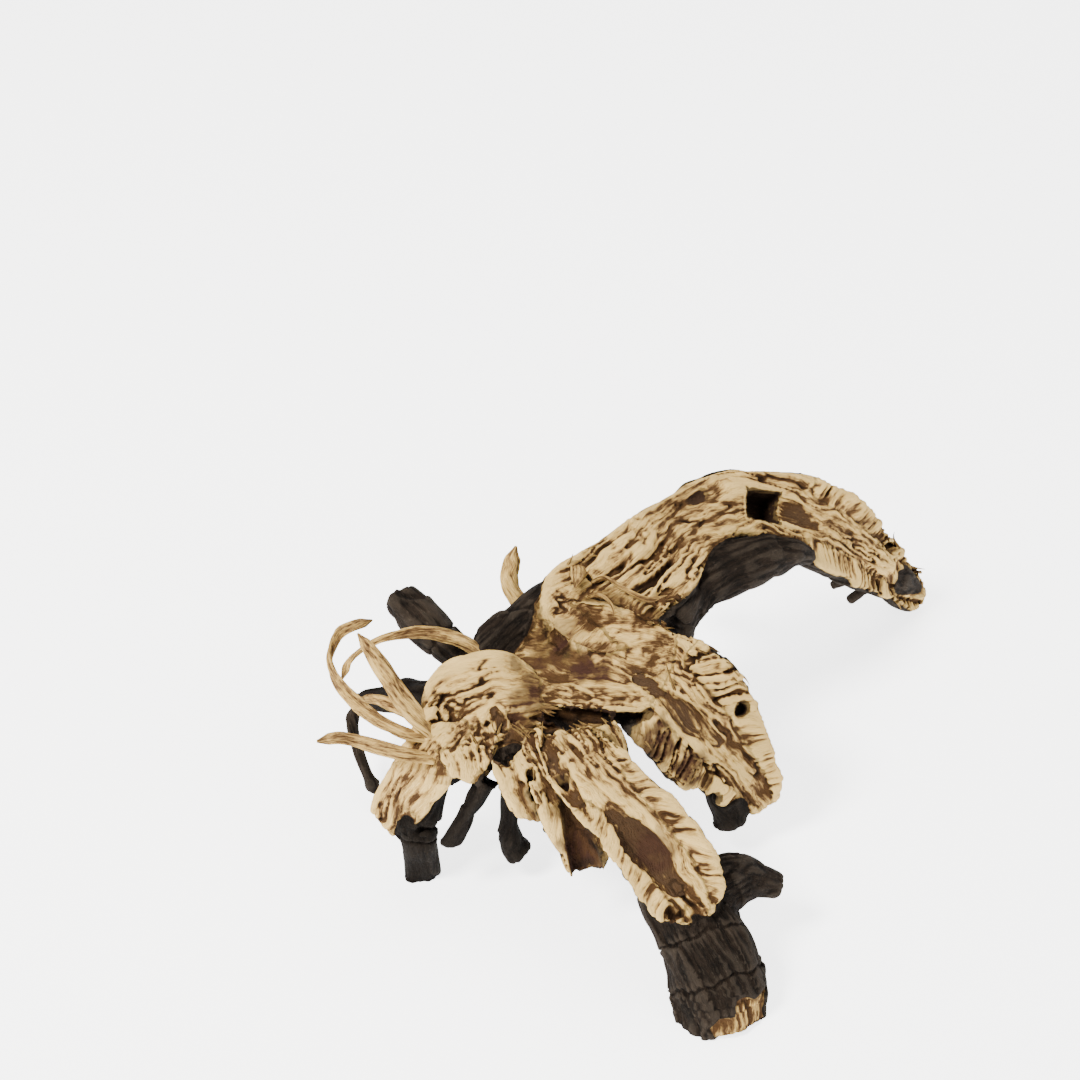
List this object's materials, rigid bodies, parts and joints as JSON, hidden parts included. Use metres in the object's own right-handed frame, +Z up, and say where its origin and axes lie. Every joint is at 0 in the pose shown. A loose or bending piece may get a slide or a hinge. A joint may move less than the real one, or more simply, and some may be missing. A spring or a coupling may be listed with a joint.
{
  "type": "dried cimicifuga rhizome",
  "caption": "Gnarled dried rhizome split lengthwise, with a pale netted face, a dark bark back, hollowed lobes, root stubs and curling rootlets, lying on low points.",
  "frame": {"origin": "bottom centre of the bounding box, on the surface that the piece lies on", "axes": "+Z up, the pale split face looking up and towards -Y, the long arm reaching to +X and +Y"},
  "size_m": [0.1256, 0.1334, 0.053],
  "materials": {
    "dried_flesh": "dry, matt and fibrous, with a dark brown-black bark on its back and roots"
  },
  "bodies": {
    "root": {"rhizome": "dried_flesh"}
  },
  "joints": []
}
